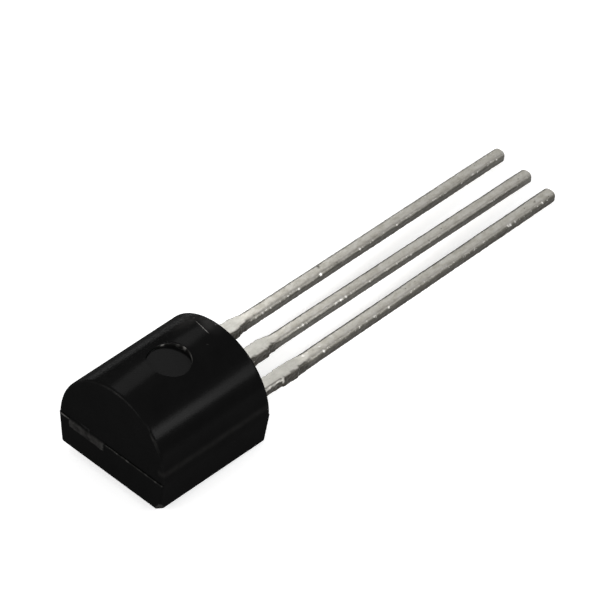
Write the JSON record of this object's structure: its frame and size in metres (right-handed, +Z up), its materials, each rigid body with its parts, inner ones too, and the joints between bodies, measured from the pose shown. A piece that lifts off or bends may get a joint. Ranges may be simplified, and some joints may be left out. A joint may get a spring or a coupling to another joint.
{
  "type": "transistor",
  "caption": "Small transistor in a half-round black moulded body, with a row of straight tinned leads to be soldered into a board.",
  "frame": {"origin": "on the surface that the part lies on, below the middle of its overall length", "axes": "+X from the head of the body towards the lead tips, +Y to the emitter side, +Z up from the surface; the leads dip towards their tips"},
  "size_m": [0.019, 0.0046, 0.0038],
  "materials": {
    "moulding": "black moulding compound, satin",
    "tinned_lead": "dip-tinned, satin with fine flow marks",
    "silicon": "polished silicon",
    "bond_wire": "drawn gold wire"
  },
  "bodies": {
    "root": {"moulded_body": "moulding", "emitter_lead": "tinned_lead", "collector_lead": "tinned_lead", "base_lead": "tinned_lead", "silicon_die": "silicon", "emitter_bond_wire": "bond_wire", "base_bond_wire": "bond_wire"}
  },
  "joints": []
}
